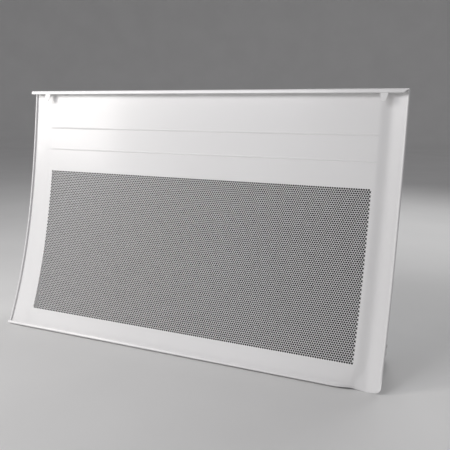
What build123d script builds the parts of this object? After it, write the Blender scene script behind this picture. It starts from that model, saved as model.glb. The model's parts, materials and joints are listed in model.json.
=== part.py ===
from build123d import *
import math
import os

os.makedirs("parts", exist_ok=True)

# Panel heater with a leaning, inward-bowed front cover. Millimetres, +Z up, front towards -Y, width on X.
# The origin is at floor level, in the middle of the whole outline.

# ---- driving dimensions ----
WIDTH = 750.0  # front cover, side to side
DEPTH = 160.0  # front of the lower rim to the wall
CHORD = 477.0  # front cover, top fold to bottom fold in a straight line
LEAN = 14.0  # degrees that the cover leans back from vertical
BOW_HIGH = 18.0  # how far the face's upper and lower Bezier poles lie behind the chord
BOW_LOW = 34.0
SKIN = 1.0  # cover sheet
FLOOR_GAP = 2.5  # under the cover's lower rim

TOP_SHELF = 12.5  # rims folded forwards round the face
TOP_LIP = 6.0
LOW_SHELF = 8.5
LOW_LIP = 4.5
SIDE_BEAD = 3.5
SIDE_BEAD_RISE = 4.0

TONGUE_ROOT = 12.5  # spring tongues that hang behind the top lip
TONGUE_TIP = 7.0
TONGUE_DROP = 13.5
TONGUE_THICK = 1.2
TONGUE_INSET = 38.0  # from the cover's end to the tongue's middle
TONGUE_GAP = 0.4  # below the shelf
TONGUE_CORNER = 1.5

INSET = 15.0  # end caps stand this far in from the cover's ends
CAP_WALL = 2.0
CASE_GAP = 1.4  # between the cover's back and the end caps
PAN_Z = 10.0  # underside of the floor pan
CASE_TOP = 456.0
SHEET = 1.0  # chassis steel
BRACKET_DEPTH = 12.0
PAN_FRONT = -64.0

HINGE_Z = 451.0
HINGE_BACK = 15.0  # pivot in front of the back plate
HINGE_PIN = 3.0  # radius
RUNNING = 0.08  # radial clearance of a pin in its hole
EAR_RADIUS = 7.0
EAR_THICK = 2.0
EAR_GAP = 1.0  # between end cap and ear
EAR_NECK = 12.0  # from the ear's round end to the cover

EMITTER_W = 660.0
EMITTER_H = 296.0
EMITTER_V = -66.0  # middle of the emitter along the chord, from the chord's middle
EMITTER_B = 26.0  # emitter front behind the chord
EMITTER_T = 2.0
RIB_PITCH = 17.4
RIB_COUNT = 17
RIB_WIDE = 3.0
RIB_HIGH = 1.5
TUBE_R = 4.0
TUBE_GAP = 60.0  # between the legs of the element
TUBE_RUN = 520.0
REFLECTOR_W = 620.0
REFLECTOR_H = 268.0
REFLECTOR_V = -60.0  # the element lies along the reflector's middle
REFLECTOR_B = 46.0
REFLECTOR_T = 0.6

# ---- places worked out from them ----
SIN = math.sin(math.radians(LEAN))
COS = math.cos(math.radians(LEAN))
HALF = CHORD / 2
MID_Y = -DEPTH / 2 + LOW_SHELF * COS + HALF * SIN
MID_Z = FLOOR_GAP + HALF * COS + SKIN * SIN
WALL_Y = DEPTH / 2
BACK_Y = WALL_Y - BRACKET_DEPTH - SHEET  # front of the back plate
HINGE_Y = BACK_Y - HINGE_BACK
CAP_X = WIDTH / 2 - INSET  # outer face of the end caps
INNER = 2 * (CAP_X - CAP_WALL)  # clear width between the end caps
PAN_TOP = PAN_Z + SHEET


def side_plane(x):
    """Plane across the width at x: its X runs back from the chord and its Y runs up the chord."""
    return Plane(origin=(x, MID_Y, MID_Z), x_dir=(0, COS, -SIN), z_dir=(1, 0, 0))


def face_plane(back):
    """Plane parallel to the chord at a distance behind it: its X runs along the width and its Y up."""
    return Plane(
        origin=(0, MID_Y + back * COS, MID_Z - back * SIN),
        x_dir=(1, 0, 0),
        z_dir=(0, -COS, SIN),
    )


def bow_points(back):
    """The poles of the face's curve, moved back by a distance."""
    return [(back, HALF), (BOW_HIGH + back, HALF / 3), (BOW_LOW + back, -HALF / 3), (back, -HALF)]


def bow_depth(v):
    """How far the face lies behind the chord at a height v along it."""
    s = 0.5 - v / CHORD
    return 3 * (1 - s) ** 2 * s * BOW_HIGH + 3 * (1 - s) * s**2 * BOW_LOW


def finish(piece, label):
    piece.part.label = label
    export_step(piece.part, f"parts/{label}.step")


# ---- front cover: one bowed sheet with its rims folded forwards ----
with BuildPart() as front_cover:
    with BuildSketch(side_plane(-WIDTH / 2)):
        with BuildLine():
            Bezier(*bow_points(0))
            Polyline(
                (0, -HALF),
                (-LOW_SHELF + SKIN, -HALF),
                (-LOW_SHELF + SKIN, -HALF + LOW_LIP),
                (-LOW_SHELF, -HALF + LOW_LIP),
                (-LOW_SHELF, -HALF - SKIN),
                (SKIN, -HALF - SKIN),
                (SKIN, -HALF),
            )
            Bezier(*reversed(bow_points(SKIN)))
            Polyline(
                (SKIN, HALF),
                (SKIN, HALF + SKIN),
                (-TOP_SHELF, HALF + SKIN),
                (-TOP_SHELF, HALF - TOP_LIP),
                (-TOP_SHELF + SKIN, HALF - TOP_LIP),
                (-TOP_SHELF + SKIN, HALF),
                (0, HALF),
            )
        make_face()
    extrude(amount=WIDTH)
    for x in (-WIDTH / 2, WIDTH / 2 - SIDE_BEAD):
        with BuildSketch(side_plane(x)):
            with BuildLine():
                Bezier(*bow_points(0))
                Line((0, -HALF), (-SIDE_BEAD_RISE, -HALF))
                Bezier(*reversed(bow_points(-SIDE_BEAD_RISE)))
                Line((-SIDE_BEAD_RISE, HALF), (0, HALF))
            make_face()
        extrude(amount=SIDE_BEAD)
finish(front_cover, "front_cover")

# Spring tongues that hang from behind the top lip, one near each end.
for side, label in ((-1, "left_tongue"), (1, "right_tongue")):
    with BuildPart() as tongue:
        with BuildSketch(face_plane(-TOP_SHELF + SKIN + TONGUE_THICK)):
            mid = side * (WIDTH / 2 - TONGUE_INSET)
            root = HALF - TONGUE_GAP
            tip = HALF - TOP_LIP - TONGUE_DROP
            Polygon(
                (mid - TONGUE_ROOT / 2, root),
                (mid - TONGUE_ROOT / 2, root - TOP_LIP),
                (mid - TONGUE_TIP / 2, tip),
                (mid + TONGUE_TIP / 2, tip),
                (mid + TONGUE_ROOT / 2, root - TOP_LIP),
                (mid + TONGUE_ROOT / 2, root),
                align=None,
            )
        extrude(amount=TONGUE_THICK)
        through = Axis((0, 0, 0), (0, -COS, SIN))
        fillet(tongue.edges().filter_by(through).sort_by(Axis.Z)[:2], TONGUE_CORNER)
    finish(tongue, label)

# Hinge ears: plates behind the cover that turn on the shoulder screws of the end caps.
EAR_X = CAP_X + EAR_GAP
EAR_REACH = 60.0  # blank behind the cover's skin that the ear is cut from
for side, label in ((-1, "left_hinge_ear"), (1, "right_hinge_ear")):
    x_low = EAR_X if side > 0 else -EAR_X - EAR_THICK
    with BuildPart() as ear:
        with BuildSketch(side_plane(x_low)):
            with BuildLine():
                Bezier(*bow_points(SKIN))
                far = SKIN + EAR_REACH
                Polyline((SKIN, -HALF), (far, -HALF), (far, HALF), (SKIN, HALF))
            make_face()
        extrude(amount=EAR_THICK)
        with Locations((x_low + EAR_THICK / 2, HINGE_Y - EAR_NECK / 2, HINGE_Z)):
            Box(EAR_THICK, 2 * EAR_RADIUS + EAR_NECK, 2 * EAR_RADIUS, mode=Mode.INTERSECT)
        fillet(ear.edges().filter_by(Axis.X).group_by(Axis.Y)[-1], EAR_RADIUS - 0.1)
        with BuildSketch(Plane.YZ.offset(x_low)):
            with Locations((HINGE_Y, HINGE_Z)):
                Circle(HINGE_PIN + RUNNING)
        extrude(amount=EAR_THICK, mode=Mode.SUBTRACT)
    finish(ear, label)

# Catch studs on the cover's back, near its lower corners.
STUD_X = 300.0
STUD_RISE = 24.0  # above the cover's bottom fold
STUD_V = -HALF + STUD_RISE
STUD_LONG = 11.0
STUD_R = 2.0
stud_start = bow_depth(STUD_V) + SKIN
with BuildPart() as catch_studs:
    for side in (-1, 1):
        with BuildSketch(face_plane(stud_start + STUD_LONG)):
            with Locations((side * STUD_X, STUD_V)):
                Circle(STUD_R)
        extrude(amount=STUD_LONG)
finish(catch_studs, "catch_studs")

# ---- chassis sheets ----
LEAD_HOLE_R = 8.2
GLAND_X = -300.0
GLAND_Z = 60.0
BRACKET_X = 210.0  # middle of each wall bracket
BRACKET_HOLE_Z = (110.0, 350.0)
BRACKET_SCREW_Z = (140.0, 380.0)
BRACKET_SCREW_R = 2.2
BACK_VENT_Z = 425.0
BACK_VENT_PITCH = 24.0
BACK_VENTS = 26
BACK_VENT_LONG = 18.0
BACK_VENT_HIGH = 4.0
with BuildPart() as back_plate:
    with Locations((0, BACK_Y + SHEET / 2, (PAN_Z + CASE_TOP) / 2)):
        Box(INNER, SHEET, CASE_TOP - PAN_Z)
    with BuildSketch(Plane.XZ.offset(-BACK_Y)):
        with Locations((GLAND_X, GLAND_Z)):
            Circle(LEAD_HOLE_R)
        for z in BRACKET_SCREW_Z:
            with Locations((-BRACKET_X, z), (BRACKET_X, z)):
                Circle(BRACKET_SCREW_R)
        with Locations((0, BACK_VENT_Z)):
            with GridLocations(BACK_VENT_PITCH, 1, BACK_VENTS, 1):
                SlotOverall(BACK_VENT_LONG, BACK_VENT_HIGH)
    extrude(amount=-SHEET, mode=Mode.SUBTRACT)
finish(back_plate, "back_plate")

# Floor pan with air inlets and an upright stiffening lip near its front edge.
FLANGE_HIGH = 10.0
PAN_LIP_BACK = 8.0
PAN_LIP_SHORT = 160.0  # left free at the ends for the catch clips
PAN_VENT_PITCH = (16.0, 44.0)
PAN_VENTS = (38, 2)
PAN_VENT_LONG = 34.0
PAN_VENT_WIDE = 6.0
PAN_VENT_Y = 8.0
pan_deep = BACK_Y - PAN_FRONT
with BuildPart() as floor_pan:
    with Locations((0, PAN_FRONT + pan_deep / 2, PAN_Z + SHEET / 2)):
        Box(INNER, pan_deep, SHEET)
    with Locations((0, PAN_FRONT + PAN_LIP_BACK + SHEET / 2, PAN_TOP + FLANGE_HIGH / 2)):
        Box(INNER - PAN_LIP_SHORT, SHEET, FLANGE_HIGH)
    with BuildSketch(Plane.XY.offset(PAN_Z)):
        with Locations((0, PAN_VENT_Y)):
            with GridLocations(*PAN_VENT_PITCH, *PAN_VENTS):
                SlotOverall(PAN_VENT_LONG, PAN_VENT_WIDE, rotation=90)
    extrude(amount=SHEET, mode=Mode.SUBTRACT)
finish(floor_pan, "floor_pan")

# Top grille with air outlets and a flange turned down along its front.
GRILLE_FRONT = HINGE_Y - 2.0
GRILLE_FLANGE_SHORT = 40.0
GRILLE_PITCH = 12.0
GRILLE_VENTS = 56
GRILLE_VENT_LONG = 11.0
GRILLE_VENT_WIDE = 7.0
grille_deep = BACK_Y - GRILLE_FRONT
with BuildPart() as top_grille:
    with Locations((0, GRILLE_FRONT + grille_deep / 2, CASE_TOP - SHEET / 2)):
        Box(INNER, grille_deep, SHEET)
    with Locations((0, GRILLE_FRONT + SHEET / 2, CASE_TOP - SHEET - FLANGE_HIGH / 2)):
        Box(INNER - GRILLE_FLANGE_SHORT, SHEET, FLANGE_HIGH)
    with BuildSketch(Plane.XY.offset(CASE_TOP - SHEET)):
        with Locations((0, GRILLE_FRONT + (grille_deep + SHEET) / 2)):
            with GridLocations(GRILLE_PITCH, 1, GRILLE_VENTS, 1):
                SlotOverall(GRILLE_VENT_LONG, GRILLE_VENT_WIDE, rotation=90)
    extrude(amount=SHEET, mode=Mode.SUBTRACT)
finish(top_grille, "top_grille")

# End caps: wedge plates whose front edge follows the cover's back.
KNOB_Y = 40.0
KNOB_Z = 250.0
SHAFT_R = 3.0
SHAFT_ROOM = 1.2  # round the shaft in the end cap's hole
SWITCH_Y = 40.0
SWITCH_Z = 190.0
SWITCH_Y_SIZE = 13.0
SWITCH_Z_SIZE = 20.0
CAP_SCREW_Z = (30.0, 150.0, 330.0)
CAP_SCREW_Y = BACK_Y - 8.0
CAP_SCREW_R = 1.6
CAP_SCREW_HEAD_R = 3.6
CAP_SCREW_HEAD_H = 2.0
CAP_SCREW_BITE = 6.0  # past the end cap's inner face
for side, label in ((-1, "left_end_cap"), (1, "right_end_cap")):
    x_low = CAP_X - CAP_WALL if side > 0 else -CAP_X
    with BuildPart() as end_cap:
        with BuildSketch(side_plane(x_low)):
            with BuildLine():
                near = SKIN + CASE_GAP
                far = near + DEPTH
                Bezier(*bow_points(near))
                Polyline((near, -HALF), (far, -HALF), (far, HALF), (near, HALF))
            make_face()
        extrude(amount=CAP_WALL)
        cap_deep = BACK_Y + SHEET - PAN_FRONT
        with Locations((x_low + CAP_WALL / 2, PAN_FRONT + cap_deep / 2, (PAN_Z + CASE_TOP) / 2)):
            Box(CAP_WALL, cap_deep, CASE_TOP - PAN_Z, mode=Mode.INTERSECT)
        with BuildSketch(Plane.YZ.offset(x_low)):
            with Locations((HINGE_Y, HINGE_Z)):
                Circle(HINGE_PIN)
            for z in CAP_SCREW_Z:
                with Locations((CAP_SCREW_Y, z)):
                    Circle(CAP_SCREW_R)
            if side < 0:
                with Locations((KNOB_Y, KNOB_Z)):
                    Circle(SHAFT_R + SHAFT_ROOM)
                with Locations((SWITCH_Y, SWITCH_Z)):
                    Rectangle(SWITCH_Y_SIZE, SWITCH_Z_SIZE)
        extrude(amount=CAP_WALL, mode=Mode.SUBTRACT)
    finish(end_cap, label)

# Hinge shoulder screws, one through each end cap, with the ear between cap and head.
HEAD_R = 5.0
HEAD_H = 2.2
HINGE_END = 3.0  # of the shank past the end cap's inner face
HEAD_PLAY = 0.4  # between the ear and the head
with BuildPart() as hinge_screws:
    for side in (-1, 1):
        start = CAP_X - CAP_WALL - HINGE_END
        reach = EAR_X + EAR_THICK + HEAD_PLAY - start
        with BuildSketch(Plane.YZ.offset(side * start)):
            with Locations((HINGE_Y, HINGE_Z)):
                Circle(HINGE_PIN)
        extrude(amount=side * reach)
        with BuildSketch(Plane.YZ.offset(side * (start + reach))):
            with Locations((HINGE_Y, HINGE_Z)):
                Circle(HEAD_R)
        extrude(amount=side * HEAD_H)
finish(hinge_screws, "hinge_screws")

# End cap screws, three a side, with rounded heads.
with BuildPart() as end_cap_screws:
    for side in (-1, 1):
        for z in CAP_SCREW_Z:
            with BuildSketch(Plane.YZ.offset(side * (CAP_X - CAP_WALL - CAP_SCREW_BITE))):
                with Locations((CAP_SCREW_Y, z)):
                    Circle(CAP_SCREW_R)
            extrude(amount=side * (CAP_WALL + CAP_SCREW_BITE))
            with BuildSketch(Plane.YZ.offset(side * CAP_X)):
                with Locations((CAP_SCREW_Y, z)):
                    Circle(CAP_SCREW_HEAD_R)
            extrude(amount=side * CAP_SCREW_HEAD_H)
finish(end_cap_screws, "end_cap_screws")

# Screw blocks in the corners of back plate and end caps, which those screws hold.
BLOCK_WIDE = 8.0
BLOCK_DEEP = 14.0
BLOCK_HIGH = 12.0
with BuildPart() as cap_blocks:
    for side in (-1, 1):
        for z in CAP_SCREW_Z:
            with Locations((side * (CAP_X - CAP_WALL - BLOCK_WIDE / 2), BACK_Y - BLOCK_DEEP / 2, z)):
                Box(BLOCK_WIDE, BLOCK_DEEP, BLOCK_HIGH)
            with BuildSketch(Plane.YZ.offset(side * (CAP_X - CAP_WALL - BLOCK_WIDE))):
                with Locations((CAP_SCREW_Y, z)):
                    Circle(CAP_SCREW_R)
            extrude(amount=side * BLOCK_WIDE, mode=Mode.SUBTRACT)
finish(cap_blocks, "cap_blocks")

# Catch clips: forks on the floor pan that grip the cover's studs.
GRIP = 0.55  # of the stud's length, from its root
CLIP_T = 1.2
CLIP_DEEP = 5.0
CLIP_WIDE = 11.0
PRONG_X = 3.0  # from the stud's middle to the middle of each prong
PRONG_PAST = 4.0  # above the stud's middle
grip_back = stud_start + STUD_LONG * GRIP
stud_y = MID_Y + grip_back * COS + STUD_V * SIN
stud_z = MID_Z - grip_back * SIN + STUD_V * COS
prong_high = stud_z + PRONG_PAST - PAN_TOP
with BuildPart() as catch_clips:
    for side in (-1, 1):
        with Locations((side * STUD_X, stud_y, PAN_TOP + CLIP_T / 2)):
            Box(CLIP_WIDE, CLIP_DEEP, CLIP_T)
        for prong in (-1, 1):
            with Locations((side * STUD_X + prong * PRONG_X, stud_y, PAN_TOP + prong_high / 2)):
                Box(CLIP_T, CLIP_DEEP, prong_high)
finish(catch_clips, "catch_clips")

# Rubber feet under the floor pan.
FEET_APART = 660.0
FOOT_INSET = 13.0
FOOT_R = 9.0
FOOT_TAPER = -6
with BuildPart() as rubber_feet:
    with BuildSketch(Plane.XY):
        with Locations((0, (PAN_FRONT + BACK_Y) / 2)):
            with GridLocations(FEET_APART, pan_deep - 2 * FOOT_INSET, 2, 2):
                Circle(FOOT_R)
    extrude(amount=PAN_Z, taper=FOOT_TAPER)
finish(rubber_feet, "rubber_feet")

# Wall brackets: two upright channels that the chassis hangs on.
BRACKET_W = 40.0
BRACKET_T = 1.5
BRACKET_LONG = 330.0
BRACKET_MID_Z = 230.0
FOOT_WIDE = 12.5  # each foot flange, with its lap on the channel
FOOT_OUT = 6.0  # middle of the foot flange, out from the channel's side
WALL_HOLE_R = 3.5
PILOT_HOLE_R = 2.6
for side, label in ((-1, "left_wall_bracket"), (1, "right_wall_bracket")):
    with BuildPart() as wall_bracket:
        with Locations((side * BRACKET_X, WALL_Y - BRACKET_DEPTH / 2, BRACKET_MID_Z)):
            Box(BRACKET_W, BRACKET_DEPTH, BRACKET_LONG)
        with Locations((side * BRACKET_X, WALL_Y - BRACKET_DEPTH / 2 + BRACKET_T, BRACKET_MID_Z)):
            Box(BRACKET_W - 2 * BRACKET_T, BRACKET_DEPTH, BRACKET_LONG, mode=Mode.SUBTRACT)
        for edge in (-1, 1):
            foot_x = side * BRACKET_X + edge * (BRACKET_W / 2 + FOOT_OUT)
            with Locations((foot_x, WALL_Y - BRACKET_T / 2, BRACKET_MID_Z)):
                Box(FOOT_WIDE, BRACKET_T, BRACKET_LONG)
            with BuildSketch(Plane.XZ.offset(-WALL_Y + BRACKET_T)):
                with Locations((foot_x, BRACKET_HOLE_Z[0]), (foot_x, BRACKET_HOLE_Z[1])):
                    Circle(WALL_HOLE_R if edge == side else PILOT_HOLE_R)
            extrude(amount=-BRACKET_T, mode=Mode.SUBTRACT)
        with BuildSketch(Plane.XZ.offset(-WALL_Y + BRACKET_DEPTH)):
            for z in BRACKET_SCREW_Z:
                with Locations((side * BRACKET_X, z)):
                    Circle(BRACKET_SCREW_R)
        extrude(amount=-BRACKET_T, mode=Mode.SUBTRACT)
    finish(wall_bracket, label)

# Screws that join the back plate to the wall brackets.
BRACKET_SCREW_HEAD_R = 4.2
BRACKET_SCREW_LONG = 8.0
with BuildPart() as bracket_screws:
    for side in (-1, 1):
        for z in BRACKET_SCREW_Z:
            with BuildSketch(Plane.XZ.offset(-BACK_Y)):
                with Locations((side * BRACKET_X, z)):
                    Circle(BRACKET_SCREW_HEAD_R)
            extrude(amount=HEAD_H)
            with BuildSketch(Plane.XZ.offset(-BACK_Y)):
                with Locations((side * BRACKET_X, z)):
                    Circle(BRACKET_SCREW_R)
            extrude(amount=-BRACKET_SCREW_LONG)
finish(bracket_screws, "bracket_screws")

# ---- heating: emitter, element, reflector ----
with BuildPart() as emitter_plate:
    with BuildSketch(face_plane(EMITTER_B + EMITTER_T)):
        with Locations((0, EMITTER_V)):
            Rectangle(EMITTER_W, EMITTER_H)
    extrude(amount=EMITTER_T)
    with BuildSketch(face_plane(EMITTER_B)):
        with Locations((0, EMITTER_V)):
            with GridLocations(1, RIB_PITCH, 1, RIB_COUNT):
                Rectangle(EMITTER_W, RIB_WIDE)
    extrude(amount=RIB_HIGH)
finish(emitter_plate, "emitter_plate")

TUBE_B = EMITTER_B + EMITTER_T + TUBE_R
ELEMENT_LEFT = -TUBE_RUN / 2
leg_high = REFLECTOR_V + TUBE_GAP / 2
leg_low = REFLECTOR_V - TUBE_GAP / 2
with BuildPart() as heating_element:
    with BuildLine(face_plane(TUBE_B)) as element_path:
        Line((ELEMENT_LEFT, leg_high), (ELEMENT_LEFT + TUBE_RUN, leg_high))
        turn = (ELEMENT_LEFT + TUBE_RUN + TUBE_GAP / 2, REFLECTOR_V)
        ThreePointArc((ELEMENT_LEFT + TUBE_RUN, leg_high), turn, (ELEMENT_LEFT + TUBE_RUN, leg_low))
        Line((ELEMENT_LEFT + TUBE_RUN, leg_low), (ELEMENT_LEFT, leg_low))
    with BuildSketch(Plane(element_path.line @ 0, z_dir=element_path.line % 0)):
        Circle(TUBE_R)
    sweep()
finish(heating_element, "heating_element")

# Ceramic bushes and threaded pins at the element's two ends.
BUSH_LONG = 12.0
BUSH_R = 3.8
PIN_LONG = 12.0
PIN_R = 1.5
NUT_R = 3.6
NUT_THICK = 3.0
with BuildPart() as terminal_bushes:
    for leg in (leg_high, leg_low):
        end = face_plane(TUBE_B).from_local_coords((ELEMENT_LEFT, leg, 0))
        with BuildSketch(Plane(end, z_dir=(-1, 0, 0))):
            Circle(BUSH_R)
        extrude(amount=BUSH_LONG)
finish(terminal_bushes, "terminal_bushes")

with BuildPart() as terminal_pins:
    for leg in (leg_high, leg_low):
        end = face_plane(TUBE_B).from_local_coords((ELEMENT_LEFT - BUSH_LONG, leg, 0))
        with BuildSketch(Plane(end, z_dir=(-1, 0, 0))):
            Circle(PIN_R)
        extrude(amount=PIN_LONG)
        with BuildSketch(Plane(end, z_dir=(-1, 0, 0))):
            RegularPolygon(NUT_R, 6)
        extrude(amount=NUT_THICK)
finish(terminal_pins, "terminal_pins")

# Saddle clips that press the element against the emitter.
CLIP_X = (-220.0, -80.0, 60.0, 200.0)
CLIP_LONG = 12.0
SADDLE_T = 1.2
SADDLE_GAP = 0.1
SADDLE_FOOT = 8.5
SADDLE_FOOT_T = 1.1
SADDLE_HIGH = 40.0  # taller than the whole clip
foot_b = TUBE_B - TUBE_R + SADDLE_FOOT_T / 2
foot_v = TUBE_R + SADDLE_FOOT / 2 + SADDLE_GAP
with BuildPart() as element_clips:
    for x in CLIP_X:
        for leg in (leg_high, leg_low):
            with BuildSketch(side_plane(x)):
                with Locations((TUBE_B, leg)):
                    Circle(TUBE_R + SADDLE_GAP + SADDLE_T)
                    Circle(TUBE_R + SADDLE_GAP, mode=Mode.SUBTRACT)
                with Locations((foot_b, leg - foot_v), (foot_b, leg + foot_v)):
                    Rectangle(SADDLE_FOOT_T, SADDLE_FOOT)
                with Locations((TUBE_B - 2 * TUBE_R, leg)):
                    Rectangle(2 * TUBE_R, SADDLE_HIGH, mode=Mode.SUBTRACT)
            extrude(amount=CLIP_LONG)
finish(element_clips, "element_clips")

STANDOFF_X = 290.0
STANDOFF_APART = 224.0
STANDOFF_V = (REFLECTOR_V - STANDOFF_APART / 2, REFLECTOR_V + STANDOFF_APART / 2)
STANDOFF_R = 6.0
STANDOFF_BORE = 2.1
LONG_SCREW_R = 2.0
LONG_SCREW_HEAD_R = 4.0
with BuildPart() as ceramic_standoffs:
    with BuildSketch(face_plane(REFLECTOR_B)):
        for v in STANDOFF_V:
            with Locations((-STANDOFF_X, v), (STANDOFF_X, v)):
                Circle(STANDOFF_R)
                Circle(STANDOFF_BORE, mode=Mode.SUBTRACT)
    extrude(amount=REFLECTOR_B - EMITTER_B - EMITTER_T)
finish(ceramic_standoffs, "ceramic_standoffs")

REFLECTOR_LIP = 8.0
REFLECTOR_BACK = REFLECTOR_B + REFLECTOR_T
with BuildPart() as reflector:
    with BuildSketch(face_plane(REFLECTOR_BACK)):
        with Locations((0, REFLECTOR_V)):
            Rectangle(REFLECTOR_W, REFLECTOR_H)
        for v in STANDOFF_V:
            with Locations((-STANDOFF_X, v), (STANDOFF_X, v)):
                Circle(LONG_SCREW_R, mode=Mode.SUBTRACT)
    extrude(amount=REFLECTOR_T)
    with BuildSketch(face_plane(REFLECTOR_B)):
        with Locations((0, REFLECTOR_V)):
            with GridLocations(1, REFLECTOR_H - REFLECTOR_T, 1, 2):
                Rectangle(REFLECTOR_W, REFLECTOR_T)
    extrude(amount=REFLECTOR_LIP)
finish(reflector, "reflector")

# Long screws through reflector and standoffs, tapped into the emitter's back.
with BuildPart() as standoff_screws:
    for v in STANDOFF_V:
        for side in (-1, 1):
            with BuildSketch(face_plane(REFLECTOR_BACK)):
                with Locations((side * STANDOFF_X, v)):
                    Circle(LONG_SCREW_R)
            extrude(amount=REFLECTOR_BACK - EMITTER_B - EMITTER_T)
            with BuildSketch(face_plane(REFLECTOR_BACK + HEAD_H)):
                with Locations((side * STANDOFF_X, v)):
                    Circle(LONG_SCREW_HEAD_R)
            extrude(amount=HEAD_H)
finish(standoff_screws, "standoff_screws")

# Stays: plates that carry the reflector off the back plate.
STAY_X = 255.0
STAY_T = 1.5
STAY_REACH = 200.0  # blank behind the reflector, cut off at the back plate
STAY_HIGH = REFLECTOR_H - 40.0
for side, label in ((-1, "left_stay"), (1, "right_stay")):
    with BuildPart() as stay:
        with BuildSketch(side_plane(side * STAY_X)):
            with Locations((REFLECTOR_BACK + STAY_REACH / 2, REFLECTOR_V)):
                Rectangle(STAY_REACH, STAY_HIGH)
        extrude(amount=STAY_T)
        with Locations((side * STAY_X, BACK_Y - STAY_REACH / 2, MID_Z)):
            Box(3 * STAY_T, STAY_REACH, CHORD, mode=Mode.INTERSECT)
    finish(stay, label)

# Limit thermostat on a strip across the reflector's back.
LIMIT_X = 120.0
LIMIT_V = REFLECTOR_V + 90.0
STRIP_LONG = 46.0
STRIP_HIGH = 22.0
STRIP_T = 1.2
STRIP_HOLES = 36.0
STRIP_HOLE_R = 1.8
LIMIT_R = 8.0
LIMIT_LONG = 8.0
TAB_WIDE = 6.3  # push-on terminal tabs
TAB_T = 0.8
TAB_LONG = 6.0
TAB_OUT = 5.0  # past the part that carries them
LIMIT_TABS = 4.0
strip_back = REFLECTOR_BACK + STRIP_T
with BuildPart() as limit_bracket:
    with BuildSketch(face_plane(strip_back)):
        with Locations((LIMIT_X, LIMIT_V)):
            Rectangle(STRIP_LONG, STRIP_HIGH)
            with GridLocations(STRIP_HOLES, 1, 2, 1):
                Circle(STRIP_HOLE_R, mode=Mode.SUBTRACT)
    extrude(amount=STRIP_T)
finish(limit_bracket, "limit_bracket")

with BuildPart() as limit_thermostat:
    with BuildSketch(face_plane(strip_back + LIMIT_LONG)):
        with Locations((LIMIT_X, LIMIT_V)):
            Circle(LIMIT_R)
    extrude(amount=LIMIT_LONG)
    for tab in (-LIMIT_TABS, LIMIT_TABS):
        with BuildSketch(face_plane(strip_back + LIMIT_LONG + TAB_OUT)):
            with Locations((LIMIT_X + tab, LIMIT_V)):
                Rectangle(TAB_T, TAB_WIDE)
        extrude(amount=TAB_LONG)
finish(limit_thermostat, "limit_thermostat")

# ---- controls on the left end ----
BOX_OUT = 26.5  # control box, from the end cap inwards
BOX_Y = (20.0, 60.0)
BOX_Z = (170.0, 280.0)
BOX_WALL = 2.0
ENTRY_SIZE = 12.0  # opening for the leads in the box's back wall
ENTRY_X = 4.0
ENTRY_RISE = 14.0
box_x = -CAP_X + CAP_WALL
box_mid = (box_x + BOX_OUT / 2, sum(BOX_Y) / 2, sum(BOX_Z) / 2)
with BuildPart() as control_box:
    with Locations(box_mid):
        Box(BOX_OUT, BOX_Y[1] - BOX_Y[0], BOX_Z[1] - BOX_Z[0])
    with Locations((box_mid[0] - BOX_WALL / 2, box_mid[1], box_mid[2])):
        Box(
            BOX_OUT - BOX_WALL,
            BOX_Y[1] - BOX_Y[0] - 2 * BOX_WALL,
            BOX_Z[1] - BOX_Z[0] - 2 * BOX_WALL,
            mode=Mode.SUBTRACT,
        )
    with Locations((box_mid[0] + ENTRY_X, BOX_Y[1] - BOX_WALL / 2, BOX_Z[0] + ENTRY_RISE)):
        Box(ENTRY_SIZE, BOX_WALL, ENTRY_SIZE, mode=Mode.SUBTRACT)
finish(control_box, "control_box")

THERMO_SIZE = 30.0
THERMO_LONG = 20.0
COLLAR_R = 7.0
COLLAR_LONG = 4.0
SOCKET_LONG = 16.0
with BuildPart() as thermostat_body:
    with Locations((box_x + COLLAR_LONG + THERMO_LONG / 2, KNOB_Y, KNOB_Z)):
        Box(THERMO_LONG, THERMO_SIZE, THERMO_SIZE)
    with BuildSketch(Plane.YZ.offset(box_x)):
        with Locations((KNOB_Y, KNOB_Z)):
            Circle(COLLAR_R)
    extrude(amount=COLLAR_LONG)
    with BuildSketch(Plane.YZ.offset(box_x)):
        with Locations((KNOB_Y, KNOB_Z)):
            Circle(SHAFT_R + RUNNING)
    extrude(amount=SOCKET_LONG, mode=Mode.SUBTRACT)
finish(thermostat_body, "thermostat_body")

KNOB_R = 16.0
KNOB_LONG = 11.5
KNOB_GAP = 0.6
KNOB_TAPER = 4
KNOB_ROUND = 1.5
KNOB_BORE = 8.0
SHAFT_IN = 15.0  # past the end cap's inner face
FLUTES = 18
FLUTE_R = 1.4
FLUTE_OUT = 0.6  # middle of each flute, out from the knob's base circle
POINTER_LONG = 9.0
POINTER_WIDE = 1.6
POINTER_DEEP = 0.7
POINTER_TURN = -45  # at the lowest setting it points down and to the back
knob_back = -CAP_X - KNOB_GAP
with BuildPart() as thermostat_shaft:
    with BuildSketch(Plane.YZ.offset(box_x + SHAFT_IN)):
        with Locations((KNOB_Y, KNOB_Z)):
            Circle(SHAFT_R)
    extrude(amount=knob_back - KNOB_BORE - box_x - SHAFT_IN)
finish(thermostat_shaft, "thermostat_shaft")

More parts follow.
